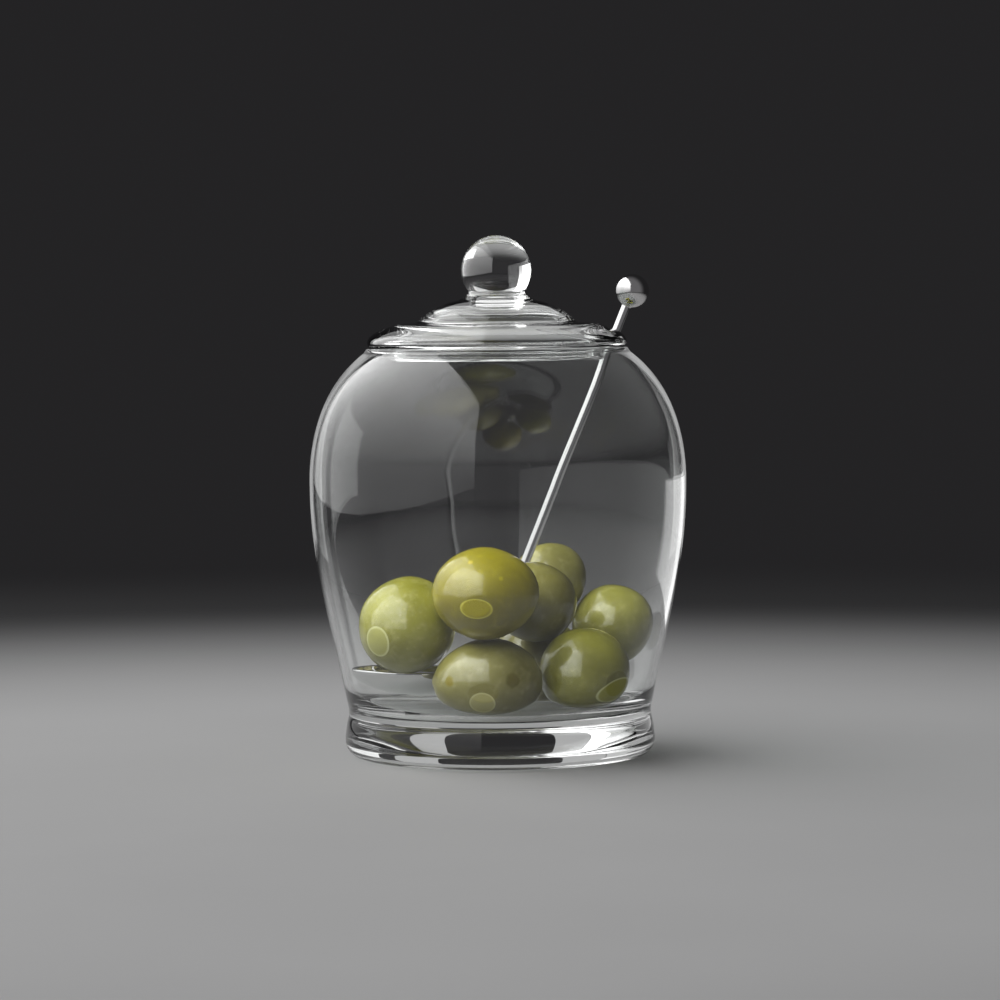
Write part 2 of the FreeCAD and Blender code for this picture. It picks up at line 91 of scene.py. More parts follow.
# %% Lines, arcs and curves of a section
def line(start, end, count):
    """Points spaced evenly from start to end."""
    share = np.linspace(0, 1, count)[:, None]
    return (1 - share) * np.array(start, float) + share * np.array(end, float)


def arc(start, end, radius, count):
    """Points of the short arc from start to end.

    The centre lies on the chord's bisector, where radius squared is half the chord squared plus
    the distance from the chord squared. Each point is centre + radius (cos angle, sin angle).
    """
    start, end = np.array(start, float), np.array(end, float)
    chord = end - start
    half = np.hypot(*chord) / 2
    left = np.array([-chord[1], chord[0]]) / (2 * half)
    away = math.sqrt(max(radius**2 - half**2, 0.0))
    centre = (start + end) / 2 + left * away * np.sign(radius)
    first = math.atan2(*(start - centre)[::-1])
    last = math.atan2(*(end - centre)[::-1])
    sweep = (last - first + math.pi) % (2 * math.pi) - math.pi
    angle = first + sweep * np.linspace(0, 1, count)
    return centre + abs(radius) * np.stack([np.cos(angle), np.sin(angle)], axis=1)


def curve(start, pull_a, pull_b, end, count):
    """Points of a cubic curve: each is the four given points, weighted by the terms of
    ((1 - share) + share) cubed."""
    share = np.linspace(0, 1, count)[:, None]
    rest = 1 - share
    weights = (rest**3, 3 * rest**2 * share, 3 * rest * share**2, share**3)
    return sum(w * np.array(p, float) for w, p in zip(weights, (start, pull_a, pull_b, end)))


def section(start, *steps):
    """Join steps into one run of points. A step is the name of its line, for an arc its radius,
    then the points that follow the last one, and how many points to draw it with."""
    points = [np.array([start], float)]
    for kind, *given in steps:
        last = points[-1][-1]
        if kind == "line":
            run = line(last, *given)
        elif kind == "arc":
            radius, end, count = given
            run = arc(last, end, radius, count)
        else:
            run = curve(last, *given)
        points.append(run[1:])
    return np.concatenate(points)


print("middle of a quarter circle:", arc((1, 0), (0, 1), 1.0, 3)[1].round(3))

# %% [markdown]
# ## From a section to a closed surface
# A grid of rows and columns is the simplest surface there is: a row is one point of the section,
# a column is one direction round the axis. Two poles close its ends. If the rows run from the
# bottom outwards and the columns run anticlockwise, every face looks out of the material.

# %% Grids with poles
def grid_faces(rows, columns):
    """Corner numbers for a grid whose columns close in a ring, with a pole at each end. Points are
    numbered row by row, then the first pole, then the last pole."""
    row, column = np.meshgrid(np.arange(rows - 1), np.arange(columns), indexing="ij")
    beside = (column + 1) % columns
    quads = np.stack(
        [row * columns + column, row * columns + beside,
         (row + 1) * columns + beside, (row + 1) * columns + column], axis=-1
    ).reshape(-1, 4)
    ring = np.arange(columns)
    after = (ring + 1) % columns
    top = (rows - 1) * columns
    first = np.stack([np.full(columns, rows * columns), after, ring], axis=1)
    last = np.stack([top + ring, top + after, np.full(columns, rows * columns + 1)], axis=1)
    return quads.tolist() + first.tolist() + last.tolist()


print("a grid of 3 by 4 has", len(grid_faces(3, 4)), "faces")

# %% Adding a piece
def add_piece(name, points, faces, slot, *nodes):
    """A smooth mesh in metres that rides on the jar's body and stands for the given solids."""
    mesh = bpy.data.meshes.new(name)
    mesh.from_pydata((np.asarray(points) * MM).tolist(), [], faces)
    mesh.polygons.foreach_set("use_smooth", np.ones(len(mesh.polygons), bool))
    mesh.update()
    piece = bpy.data.objects.new(name, mesh)
    bpy.context.scene.collection.objects.link(piece)
    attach(piece, "root")
    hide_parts(*nodes)
    triangles = sum(len(face) - 2 for face in faces)
    print(f"{name}: {len(points)} points, {triangles} triangles")
    return piece


# %% Turned glass and its ripple
RIPPLE_TURNS = (2, 3, 5, 7)
RIPPLE_RISE = (0.03, 0.12)
RIPPLE_SUM = 1.2


def glass_ripple(angle, height, seed, depth):
    """The slight unevenness of hand-finished glass: a few slow waves round and up the piece, each
    weaker the more turns it has, whose sum stays within the depth."""
    dice = np.random.default_rng(seed)
    total = 0.0
    for turns in RIPPLE_TURNS:
        start, rise = dice.uniform(0, 2 * math.pi), dice.uniform(*RIPPLE_RISE)
        total = total + np.sin(turns * angle + rise * height + start) / turns
    return depth * total / RIPPLE_SUM


def turned(profile, angles, seed, depth):
    """A surface of revolution: each point (radius, height) is carried to x = radius cos angle,
    y = radius sin angle, z = height, with a little ripple in its radius. The ends of the profile
    are on the axis and become the poles."""
    radius = np.repeat(profile[1:-1, 0][:, None], len(angles), axis=1)
    height = np.repeat(profile[1:-1, 1][:, None], len(angles), axis=1)
    around = np.repeat(angles[None, :], len(profile) - 2, axis=0)
    radius = radius * (1 + glass_ripple(around, height, seed, depth))
    rows = np.stack([radius * np.cos(around), radius * np.sin(around), height], axis=-1)
    poles = [[0, 0, profile[0, 1]], [0, 0, profile[-1, 1]]]
    return np.concatenate([rows.reshape(-1, 3), poles]), grid_faces(len(profile) - 2, len(angles))


print("waves of a ripple:", RIPPLE_TURNS)

# %% [markdown]
# ## The jar
# The body is one piece of clear glass: a heavy foot, a nipped waist, a flank that leans outwards,
# a full belly, and a shoulder that closes to a plain rolled mouth. The wall is thin, 1.4 mm, but
# the floor lies 12 mm up, so the foot is almost solid glass. That thick ring gathers light from
# everywhere and draws it as bright bent bands, so the section has to be exact there. Outside and
# inside are one closed line, from the middle of the foot over the mouth to the middle of the floor.

# %% The jar's measures
FOOT_RADIUS, FOOT_ROUND, FOOT_EASING = 41.5, 4.2, 4.0
WAIST_RADIUS, WAIST_HEIGHT, WAIST_EASING = 40.5, 11.7, 1.4
FLANK_RADIUS, FLANK_HEIGHT, FLANK_LEAN, FLANK_RISE = 41.0, 15.0, math.radians(12.2), 30.8
BELLY_RADIUS, BELLY_HEIGHT, FLANK_EASING, SHOULDER_EASING = 50.45, 73.8, 18.7, 8.0
MOUTH_RADIUS, MOUTH_HEIGHT, MOUTH_PULL_OUT, MOUTH_PULL_DOWN = 35.2, 109.2, 13.5, 10.2
RIM_ROUND, RIM_WIDTH, BORE_LAND, WALL = 0.6, 1.8, 1.0, 1.4
FLOOR_HEIGHT, FLOOR_ROUND, FLOOR_SHARE_DOWN, FLOOR_SHARE_IN = 12.3, 7.0, 0.55, 0.45
ROUND_COLUMNS = 288

flank_out = math.tan(FLANK_LEAN)
flank_pull = FLANK_HEIGHT + FLANK_RISE
mouth_pull = np.array([MOUTH_RADIUS + MOUTH_PULL_OUT, MOUTH_HEIGHT - RIM_ROUND - MOUTH_PULL_DOWN])
bore = MOUTH_RADIUS - RIM_WIDTH
belly_inside = BELLY_RADIUS - WALL
wall_slanted = WALL * math.sqrt(0.5)
inner_low = FLOOR_HEIGHT + FLOOR_ROUND
inner_start = FLANK_RADIUS + (inner_low - FLANK_HEIGHT) * flank_out - WALL / math.cos(FLANK_LEAN)
floor_down = FLOOR_SHARE_DOWN * FLOOR_ROUND
print("bore", round(2 * bore, 2), "mm, floor", round(2 * inner_start, 2), "mm across")

# %% The jar's section and surface
jar_section = section(
    (0, 0),
    ("line", (FOOT_RADIUS - FOOT_ROUND, 0), 14),
    ("arc", FOOT_ROUND, (FOOT_RADIUS, FOOT_ROUND), 16),
    ("curve", (FOOT_RADIUS, FOOT_ROUND + FOOT_EASING),
     (WAIST_RADIUS, WAIST_HEIGHT - WAIST_EASING), (WAIST_RADIUS, WAIST_HEIGHT), 14),
    ("curve", (WAIST_RADIUS, WAIST_HEIGHT + WAIST_EASING),
     (FLANK_RADIUS - WAIST_EASING * flank_out, FLANK_HEIGHT - WAIST_EASING),
     (FLANK_RADIUS, FLANK_HEIGHT), 12),
    ("curve", (FLANK_RADIUS + FLANK_RISE * flank_out, flank_pull),
     (BELLY_RADIUS, BELLY_HEIGHT - FLANK_EASING), (BELLY_RADIUS, BELLY_HEIGHT), 44),
    ("curve", (BELLY_RADIUS, BELLY_HEIGHT + SHOULDER_EASING), mouth_pull,
     (MOUTH_RADIUS, MOUTH_HEIGHT - RIM_ROUND), 44),
    ("arc", RIM_ROUND, (MOUTH_RADIUS - RIM_ROUND, MOUTH_HEIGHT), 8),
    ("line", (bore + RIM_ROUND, MOUTH_HEIGHT), 3),
    ("arc", RIM_ROUND, (bore, MOUTH_HEIGHT - RIM_ROUND), 8),
    ("line", (bore, MOUTH_HEIGHT - BORE_LAND), 3),
    ("curve", mouth_pull - wall_slanted, (belly_inside, BELLY_HEIGHT + SHOULDER_EASING),
     (belly_inside, BELLY_HEIGHT), 44),
    ("curve", (belly_inside, BELLY_HEIGHT - FLANK_EASING),
     (inner_start + (flank_pull - inner_low) * flank_out, flank_pull),
     (inner_start, inner_low), 40),
    ("curve", (inner_start - floor_down * flank_out, inner_low - floor_down),
     (inner_start - FLOOR_SHARE_IN * FLOOR_ROUND, FLOOR_HEIGHT),
     (inner_start - FLOOR_ROUND, FLOOR_HEIGHT), 20),
    ("line", (0, FLOOR_HEIGHT), 12),
)
jar_angles = np.linspace(0, 2 * math.pi, ROUND_COLUMNS, endpoint=False)
jar_points, jar_faces = turned(jar_section, jar_angles, seed=3, depth=0.0008)
jar = add_piece("glass_jar", jar_points, jar_faces, "clear_glass", "jar")
print("jar is", round(2 * jar_section[:, 0].max(), 2), "mm across")

# %% [markdown]
# ## The lid
# The lid is pressed glass: a brim that lies on the jar's mouth, a step, a hollow dome, and a solid
# ball drawn out of it. A short ring underneath keeps it from sliding, and a stub of solid glass
# hangs below the knob. The brim has one notch for the spoon. Cutting the notch afterwards would
# leave ragged faces, so the section is instead stopped early there: wherever the brim's plan has
# the notch, no point may reach further out than its edge, and the rest folds into the notch's wall.

# %% The notch's plan
NOTCH_TURN = math.radians(15.819)
NOTCH_HALF_WIDTH, NOTCH_INNER_END = 3.45, 29.416
NOTCH_FLARE, FLARE_RISE, FLARE_END = math.radians(0.8), 3.2, 1.2
NO_LIMIT = 99.0
notch_centre = NOTCH_INNER_END + NOTCH_HALF_WIDTH
notch_reach = math.asin(NOTCH_HALF_WIDTH / notch_centre)


def notch_columns(count=44, flare_count=6, rest_count=250):
    """Directions round the lid: evenly spaced along the notch's round end, a few on its flanks,
    and the rest of the circle evenly."""
    touch = math.pi / 2 - notch_reach
    turn = np.linspace(-touch, touch, count)
    end = np.arctan2(NOTCH_HALF_WIDTH * np.sin(turn),
                     notch_centre - NOTCH_HALF_WIDTH * np.cos(turn))
    flank = notch_reach + np.linspace(0, NOTCH_FLARE, flare_count)[1:]
    rest = np.linspace(flank[-1], 2 * math.pi - flank[-1], rest_count)[1:-1]
    return np.concatenate([end, flank, rest, 2 * math.pi - flank[::-1]])


def notch_edge(angle):
    """How far from the axis the brim may reach, at an angle from the notch's middle. Inside the
    notch that is the near side of its round end: centre cos angle, less the root of half width
    squared minus (centre sin angle) squared. Beyond it the edge runs out steeply to no limit."""
    angle = np.abs((angle + math.pi) % (2 * math.pi) - math.pi)
    inside = np.minimum(angle, notch_reach)
    root = np.sqrt(np.maximum(NOTCH_HALF_WIDTH**2 - (notch_centre * np.sin(inside)) ** 2, 0))
    slope = FLARE_RISE / NOTCH_FLARE
    edge = notch_centre * np.cos(inside) - root + slope * (angle - inside)
    return np.where(angle > notch_reach + FLARE_END * NOTCH_FLARE, NO_LIMIT, edge)


def soft_minimum(value, limit, easing):
    """The smaller of two numbers, rounded where they meet: half of their sum less the root of
    their difference squared plus the easing squared."""
    return 0.5 * (value + limit - np.sqrt((value - limit) ** 2 + easing**2))


print("notch spans", round(2 * math.degrees(notch_reach), 1), "degrees of the brim")

# %% The lid's measures
SEAT_HEIGHT = 109.3
BRIM_RADIUS, BRIM_EDGE, BRIM_FULLNESS, BRIM_HEIGHT, BRIM_CROWN = 34.7, 1.3, 2.8, 6.45, 5.8
STEP_WIDTH, STEP_ROUND, DOME_RADIUS, DOME_HEIGHT, DOME_CURVE = 1.6, 2.2, 20.6, 7.3, 20.0
DOME_TOP_RADIUS, DOME_TOP_HEIGHT, NECK_RADIUS, NECK_FLARE = 11.0, 12.3, 7.6, 1.3
KNOB_RADIUS, KNOB_HEIGHT = 9.35, 20.4
RING_OUTER, RING_WALL, RING_DROP, RING_ROUND, SEAT_FILLET = 28.765, 2.0, 3.8, 0.9, 0.6
CEILING_HEIGHT, CEILING_ROUND = 4.0, 1.5
HOLLOW_RADIUS, HOLLOW_HEIGHT, HOLLOW_ROUND = 18.0, 11.1, 0.9
STUB_RADIUS, STUB_BOTTOM, STUB_ROUND = 6.9, 8.0, 1.4
NOTCH_ROUND, LID_SHARP_ANGLE, ALMOST_NONE = 0.3, math.radians(50), 1e-6

ring_inner = RING_OUTER - RING_WALL
step_radius = DOME_RADIUS + STEP_WIDTH
neck_rise, neck_pinch = NECK_FLARE / 4, NECK_FLARE / 6
knob_low = KNOB_HEIGHT - math.sqrt(KNOB_RADIUS**2 - NECK_RADIUS**2)
print("ring plays", round(bore - RING_OUTER, 2), "mm inside the mouth")

# %% The lid's section and surface
lid_section = section(
    (0, STUB_BOTTOM),
    ("line", (STUB_RADIUS - STUB_ROUND, STUB_BOTTOM), 8),
    ("arc", STUB_ROUND, (STUB_RADIUS, STUB_BOTTOM + STUB_ROUND), 10),
    ("arc", -STUB_ROUND, (STUB_RADIUS + STUB_ROUND, STUB_BOTTOM + 2 * STUB_ROUND), 8),
    ("curve", ((STUB_RADIUS + HOLLOW_RADIUS) / 2 + STUB_ROUND, HOLLOW_HEIGHT),
     (HOLLOW_RADIUS, (HOLLOW_HEIGHT + CEILING_HEIGHT) / 2 + HOLLOW_ROUND),
     (HOLLOW_RADIUS, CEILING_HEIGHT + HOLLOW_ROUND), 26),
    ("arc", HOLLOW_ROUND, (HOLLOW_RADIUS + HOLLOW_ROUND, CEILING_HEIGHT), 8),
    ("line", (ring_inner - CEILING_ROUND, CEILING_HEIGHT), 8),
    ("arc", -CEILING_ROUND, (ring_inner, CEILING_HEIGHT - CEILING_ROUND), 10),
    ("line", (ring_inner, RING_ROUND - RING_DROP), 8),
    ("arc", RING_ROUND, (ring_inner + RING_ROUND, -RING_DROP), 8),
    ("line", (RING_OUTER - RING_ROUND, -RING_DROP), 2),
    ("arc", RING_ROUND, (RING_OUTER, RING_ROUND - RING_DROP), 8),
    ("line", (RING_OUTER, -SEAT_FILLET), 6),
    ("arc", -SEAT_FILLET, (RING_OUTER + SEAT_FILLET, 0), 8),
    ("line", (BRIM_RADIUS - BRIM_EDGE, 0), 12),
    ("arc", BRIM_EDGE, (BRIM_RADIUS, BRIM_EDGE), 12),
    ("curve", (BRIM_RADIUS, BRIM_EDGE + BRIM_FULLNESS), (step_radius + BRIM_CROWN, BRIM_HEIGHT),
     (step_radius, BRIM_HEIGHT), 48),
    ("arc", -STEP_ROUND, (DOME_RADIUS, DOME_HEIGHT), 10),
    ("arc", DOME_CURVE, (DOME_TOP_RADIUS, DOME_TOP_HEIGHT), 24),
    ("curve", (DOME_TOP_RADIUS - NECK_FLARE, DOME_TOP_HEIGHT + neck_rise),
     (NECK_RADIUS - neck_pinch, knob_low - NECK_FLARE), (NECK_RADIUS, knob_low), 18),
    ("arc", KNOB_RADIUS, (0, KNOB_HEIGHT + KNOB_RADIUS), 48),
) + np.array([0, SEAT_HEIGHT])

lid_points, lid_faces = turned(lid_section, notch_columns() + NOTCH_TURN, seed=8, depth=0.0009)
reach = np.hypot(lid_points[:, 0], lid_points[:, 1])
bearing = np.arctan2(lid_points[:, 1], lid_points[:, 0]) - NOTCH_TURN
kept = soft_minimum(reach, notch_edge(bearing), easing=NOTCH_ROUND)
kept = np.where(reach > NECK_RADIUS, kept, reach)
lid_points[:, :2] *= (kept / np.maximum(reach, ALMOST_NONE))[:, None]
lid = add_piece("glass_lid", lid_points, lid_faces, "clear_glass", "lid")
lid.data.set_sharp_from_angle(angle=LID_SHARP_ANGLE)
print("knob top at", round(lid_section[:, 1].max(), 2), "mm")

# %% [markdown]
# ## The spoon
# The spoon is drawn steel: a straight round rod, a ball turned on its top end, and an oval bowl
# stamped from sheet and welded to its foot. It leans on the jar's mouth and passes up through the
# notch. The rod and ball are one section turned about the rod's own axis. The bowl is half of an
# oval shell, outside and inside, joined by a rounded lip, and is made on the same kind of grid.

# %% The spoon's place
ROD_RADIUS, ROD_LENGTH, BALL_RADIUS, WELD_ROUND = 1.25, 110.0, 4.55, 0.6
BOWL_HALF_LENGTH, BOWL_HALF_WIDTH, BOWL_DEPTH, BOWL_WALL = 17.8, 13.0, 6.6, 0.8
BOWL_TILT, SPOON_TURN = math.radians(2.5), math.radians(20.3)
ROD_FOOT = np.array([-4.554, -4.457, 23.1])
ROD_DIRECTION = np.array([0.3749, 0.1387, 0.9166])
BOWL_TIP = np.array([-37.911, -16.796, 24.653])
X_AXIS, Z_AXIS = np.array([1.0, 0, 0]), np.array([0, 0, 1.0])

rod_up = ROD_DIRECTION / np.linalg.norm(ROD_DIRECTION)
print("ball's middle at", np.round(ROD_FOOT + ROD_LENGTH * rod_up, 1))


def placed(points, origin, ahead, up):
    """Local points carried into the jar's frame: origin + x times the ahead direction, + y times
    the direction square to both, + z times the up direction."""
    ahead = ahead - up * np.dot(ahead, up)
    ahead = ahead / np.linalg.norm(ahead)
    return origin + points @ np.stack([ahead, np.cross(up, ahead), up])


# %% The rod with its ball
ball_meets = math.sqrt(BALL_RADIUS**2 - (ROD_RADIUS + WELD_ROUND / 2) ** 2)
rod_section = section(
    (0, -ROD_RADIUS),
    ("arc", ROD_RADIUS, (ROD_RADIUS, 0), 8),
    ("line", (ROD_RADIUS, ROD_LENGTH - ball_meets - WELD_ROUND), 60),
    ("arc", -WELD_ROUND, (ROD_RADIUS + WELD_ROUND / 2, ROD_LENGTH - ball_meets), 7),
    ("arc", BALL_RADIUS, (0, ROD_LENGTH + BALL_RADIUS), 44),
)
rod_angles = np.linspace(0, 2 * math.pi, 64, endpoint=False)
rod_points, rod_faces = turned(rod_section, rod_angles, seed=1, depth=0.0)
rod_points = placed(rod_points, ROD_FOOT, X_AXIS, rod_up)
print("rod and ball are", round(np.ptp(rod_section[:, 1]), 1), "mm long")

# %% The bowl
def bowl_grid(rows=34, lip_rows=7, columns=160):
    """Half an oval shell. Out from the bottom: x = half length sin fall cos angle, y = half width
    sin fall sin angle, z = -depth cos fall. The lip swells by half the wall between the outer and
    the inner edge, and the inside is the same oval, smaller by the wall."""
    angle = np.linspace(0, 2 * math.pi, columns, endpoint=False)[None, :]

    def shell(fall, less):
        return np.stack(
            [(BOWL_HALF_LENGTH - less) * np.sin(fall) * np.cos(angle),
             (BOWL_HALF_WIDTH - less) * np.sin(fall) * np.sin(angle),
             -(BOWL_DEPTH - less) * np.cos(fall) * np.ones_like(angle)], axis=-1)

    fall = np.linspace(0, math.pi / 2, rows)[1:, None]
    outside, inside = shell(fall, 0.0), shell(fall[::-1], BOWL_WALL)
    share = np.linspace(0, math.pi, lip_rows)[1:-1, None, None]
    mix = 0.5 * (1 - np.cos(share))
    lip = outside[-1] * (1 - mix) + inside[0] * mix
    lip = lip + np.array([0, 0, BOWL_WALL / 2]) * np.sin(share)
    grid = np.concatenate([outside, lip, inside])
    poles = [[0, 0, -BOWL_DEPTH], [0, 0, BOWL_WALL - BOWL_DEPTH]]
    return np.concatenate([grid.reshape(-1, 3), poles]), grid_faces(len(grid), columns)


def joined(*surfaces):
    """Several closed surfaces as one list of points and one of faces."""
    points, faces, count = [], [], 0
    for more_points, more_faces in surfaces:
        points.append(more_points)
        faces += [[corner + count for corner in face] for face in more_faces]
        count += len(more_points)
    return np.concatenate(points), faces


bowl_points, bowl_faces = bowl_grid()
level = np.array([math.cos(SPOON_TURN), math.sin(SPOON_TURN), 0])
bowl_ahead = level * math.cos(BOWL_TILT) - Z_AXIS * math.sin(BOWL_TILT)
bowl_up = level * math.sin(BOWL_TILT) + Z_AXIS * math.cos(BOWL_TILT)
bowl_points = placed(bowl_points, (ROD_FOOT + BOWL_TIP) / 2, bowl_ahead, bowl_up)
spoon_points, spoon_faces = joined((rod_points, rod_faces), (bowl_points, bowl_faces))
spoon = add_piece("steel_spoon", spoon_points, spoon_faces, "polished_steel", "spoon")

# %% [markdown]
# ## The olives
# These are large green table olives, plump ovals of 23 to 28 mm. No two are alike: one end is a
# little fuller, the sides have broad soft flats where they grew against each other, and the stem
# has left a small scar. Each is an oval grid turned about its long axis, pushed in and out by a
# few dozen soft swellings placed at random but always from the same dice. Where an olive leans on
# the glass or stands on the floor it is pressed flat. Brine joins it to the glass there, and each
# point keeps a number that says how far inside that oval mark it lies, for the finish to draw a
# disc painted paler, a painted brightening, with a painted glint round it.

# %% What the olives lean on
inner_rows = jar_section[len(jar_section) // 2:]
inner_rows = inner_rows[inner_rows[:, 1] < MOUTH_HEIGHT - BORE_LAND][::-1]


def wall_inside(height):
    """The jar's inner radius at a height, read off its section."""
    return np.interp(height, inner_rows[:, 1], inner_rows[:, 0])


print("the belly is", round(2 * float(wall_inside(BELLY_HEIGHT)), 1), "mm wide inside")

# %% The skin's swellings and one olive
BROAD_CAPS = dict(count=16, depth=0.34, sharpness=4.0)
SMALL_CAPS = dict(count=40, depth=0.07, sharpness=40.0)
SEED_STEP, SMALL_SEED_STEP = 10, 50
TOUCH_SWELL, SHOULDER_TAPER = 0.1, 0.03
APEX_HEIGHT, APEX_SPREAD = 0.30, 0.13
SCAR_DEPTH, SCAR_RADIUS = 0.55, 1.25
LIP_HEIGHT, LIP_RADIUS, LIP_WIDTH = 0.10, 1.9, 0.6


def soft_caps(directions, seed, count, depth, sharpness):
    """Swellings and flats: the sum of caps, each depth times exp(-sharpness (1 - cos angle)) about
    a random direction, with depths of either sign."""
    dice = np.random.default_rng(seed)
    middles = dice.normal(size=(count, 3))
    middles /= np.linalg.norm(middles, axis=1)[:, None]
    depths = dice.uniform(-depth, depth, count)
    return np.exp(sharpness * (directions @ middles.T - 1)) @ depths


def olive_grid(half_length, half_width, fullness, seed, rows=128, columns=192):
    """An oval about its own z axis: width times sin fall, less and more full towards the ends,
    height -length cos fall; a point at the first end, a shallow scar at the last, and soft caps.
    Also the distance of each point from the scar's middle, along the skin."""
    fall = np.repeat(np.linspace(0, math.pi, rows + 2)[1:-1], columns)
    angle = np.tile(np.linspace(0, 2 * math.pi, columns, endpoint=False), rows)
    fall, angle = np.append(fall, [0, math.pi]), np.append(angle, [0, 0])
    direction = np.stack(
        [np.sin(fall) * np.cos(angle), np.sin(fall) * np.sin(angle), -np.cos(fall)], axis=1)
    wide = half_width * (1 - fullness * np.cos(fall) - SHOULDER_TAPER * np.sin(2 * fall) ** 2)
    points = direction * np.stack([wide, wide, np.full_like(wide, half_length)], axis=1)
    swell = TOUCH_SWELL + soft_caps(direction, seed, **BROAD_CAPS)
    swell += soft_caps(direction, seed + SMALL_SEED_STEP, **SMALL_CAPS)
    swell += APEX_HEIGHT * np.exp(-((fall / APEX_SPREAD) ** 2))
    from_scar = (math.pi - fall) * half_width
    pit = SCAR_DEPTH * np.exp(-((from_scar / SCAR_RADIUS) ** 4))
    lip = LIP_HEIGHT * np.exp(-(((from_scar - LIP_RADIUS) / LIP_WIDTH) ** 2))
    swell -= pit - lip
    return points + direction * swell[:, None], grid_faces(rows, columns), from_scar


# %% Pressing an olive, and its contact mark
CONTACT_CLEARANCE, FLOOR_SINK = 0.03, 0.25
WALL_EASING, FLOOR_EASING = 0.04, 0.05
MARK_DEPTH = 4.0
ANY_AHEAD = np.array([0.1, 0.2, 1.0])


def press(points, push, on_floor):
    """Move an olive outwards by push, then hold it inside the glass, and above the floor if it
    stands there."""
    middle = points.mean(axis=0)
    outward = np.array([middle[0], middle[1], 0]) / math.hypot(middle[0], middle[1])
    points = points + push * outward
    reach = np.hypot(points[:, 0], points[:, 1])
    limit = wall_inside(points[:, 2]) - CONTACT_CLEARANCE
    points[:, :2] *= (soft_minimum(reach, limit, WALL_EASING) / reach)[:, None]
    if on_floor:
        low = FLOOR_HEIGHT + CONTACT_CLEARANCE
        points[:, 2] -= FLOOR_SINK
        points[:, 2] = -soft_minimum(-points[:, 2], -low, FLOOR_EASING)
    return points


def contact_mark(points, middle, half_across, half_up, tilt):
    """How far inside a contact mark a point lies: 1 in its middle, 0 on its edge, less outside.
    The mark is an ellipse on the glass about middle, tilted up to the right, in mm and degrees."""
    across = np.array([-middle[1], middle[0], 0]) / math.hypot(middle[0], middle[1])
    tilt = math.radians(tilt)
    away = points - np.array(middle)
    along = away @ (across * math.cos(tilt) + Z_AXIS * math.sin(tilt)) / half_across
    over = away @ (Z_AXIS * math.cos(tilt) - across * math.sin(tilt)) / half_up
    through = away @ np.cross(across, Z_AXIS) / MARK_DEPTH
    return 1 - np.sqrt(along**2 + over**2 + through**2)


def make_olive(number, half_length, half_width, turn, rise, push=0.0, on_floor=False,
               fullness=0.03, contact=None):
    """One olive over its own solid: the solid's box gives the middle, turn and rise its long axis.
    Contact is (middle, half across, half up, tilt) of the wet mark where it leans on the glass."""
    node = f"olive_{number}"
    low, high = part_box(node)
    middle = (np.array(low) + np.array(high)) / (2 * MM)
    turn, rise = math.radians(turn), math.radians(rise)
    flat = math.cos(rise)
    axis = np.array([flat * math.cos(turn), flat * math.sin(turn), math.sin(rise)])
    points, faces, from_scar = olive_grid(half_length, half_width, fullness, SEED_STEP * number)
    points = press(placed(points, middle, ANY_AHEAD, axis), push, on_floor)
    measures = {"from_scar": from_scar}
    if contact:
        measures["pressed"] = contact_mark(points, *contact)
    olive = add_piece(f"green_olive_{number}", points, faces, "olive_skin", node)
    for label, values in measures.items():
        olive.data.attributes.new(label, "FLOAT", "POINT").data.foreach_set("value", values)
    return olive


# %% All nine olives
OLIVE_SHAPES = {
    1: dict(half_length=13.8, half_width=10.7, turn=2, rise=0, push=0.42, on_floor=True,
            fullness=0.05, contact=((-4.5, -39.9, 17.9), 3.2, 2.8, 0)),
    2: dict(half_length=12.3, half_width=11.7, turn=50, rise=25, push=0.60, on_floor=True,
            fullness=-0.03, contact=((29.8, -27.7, 19.8), 6.0, 2.9, 16)),
    3: dict(half_length=12.5, half_width=12.1, turn=70, rise=10, on_floor=True),
    4: dict(half_length=12.4, half_width=10.9, turn=10, rise=0, on_floor=True),
    5: dict(half_length=13.0, half_width=12.4, turn=160, rise=-60, push=0.42,
            fullness=-0.02, contact=((-31.6, -30.0, 33.2), 3.5, 4.1, -20)),
    6: dict(half_length=13.7, half_width=12.1, turn=-4, rise=0, push=0.48,
            fullness=-0.04, contact=((-5.8, -45.2, 42.9), 4.0, 2.5, -3)),
    7: dict(half_length=11.3, half_width=10.8, turn=0, rise=15),
    8: dict(half_length=11.4, half_width=10.7, turn=150, rise=-15, push=0.3),
    9: dict(half_length=11.2, half_width=10.3, turn=30, rise=30),
}
olives = {number: make_olive(number, **shape) for number, shape in OLIVE_SHAPES.items()}

# %% [markdown]
# ## Laying out node trees
# A material is a small graph. The first helper below adds a node, sets what is given, and links
# what is a socket, so that each material further down reads like a list of its ingredients. The
# others give short names to what every material asks for: a soft step, a blend, a cloudy pattern.

# %% Nodes, materials and groups
def add_node(tree, kind, settings=None, **inputs):
    """Add a node. Settings are its own properties; inputs are values or sockets to link, named as
    on the node with spaces written as underscores, or in_0, in_1 for inputs known by number."""
    node = tree.nodes.new(kind)
    for key, given in (settings or {}).items():
        setattr(node, key, given)
    for key, given in inputs.items():
        socket = node.inputs[int(key[3:]) if key.startswith("in_") else key.replace("_", " ")]
        if isinstance(given, bpy.types.NodeSocket):
            tree.links.new(given, socket)
        else:
            socket.default_value = given
    return node


def new_material(name):
    """An empty material with its output node."""
    material = bpy.data.materials.new(name)
    material.use_nodes = True
    material.node_tree.nodes.clear()
    print("material", name)
    return material, material.node_tree, material.node_tree.nodes.new("ShaderNodeOutputMaterial")


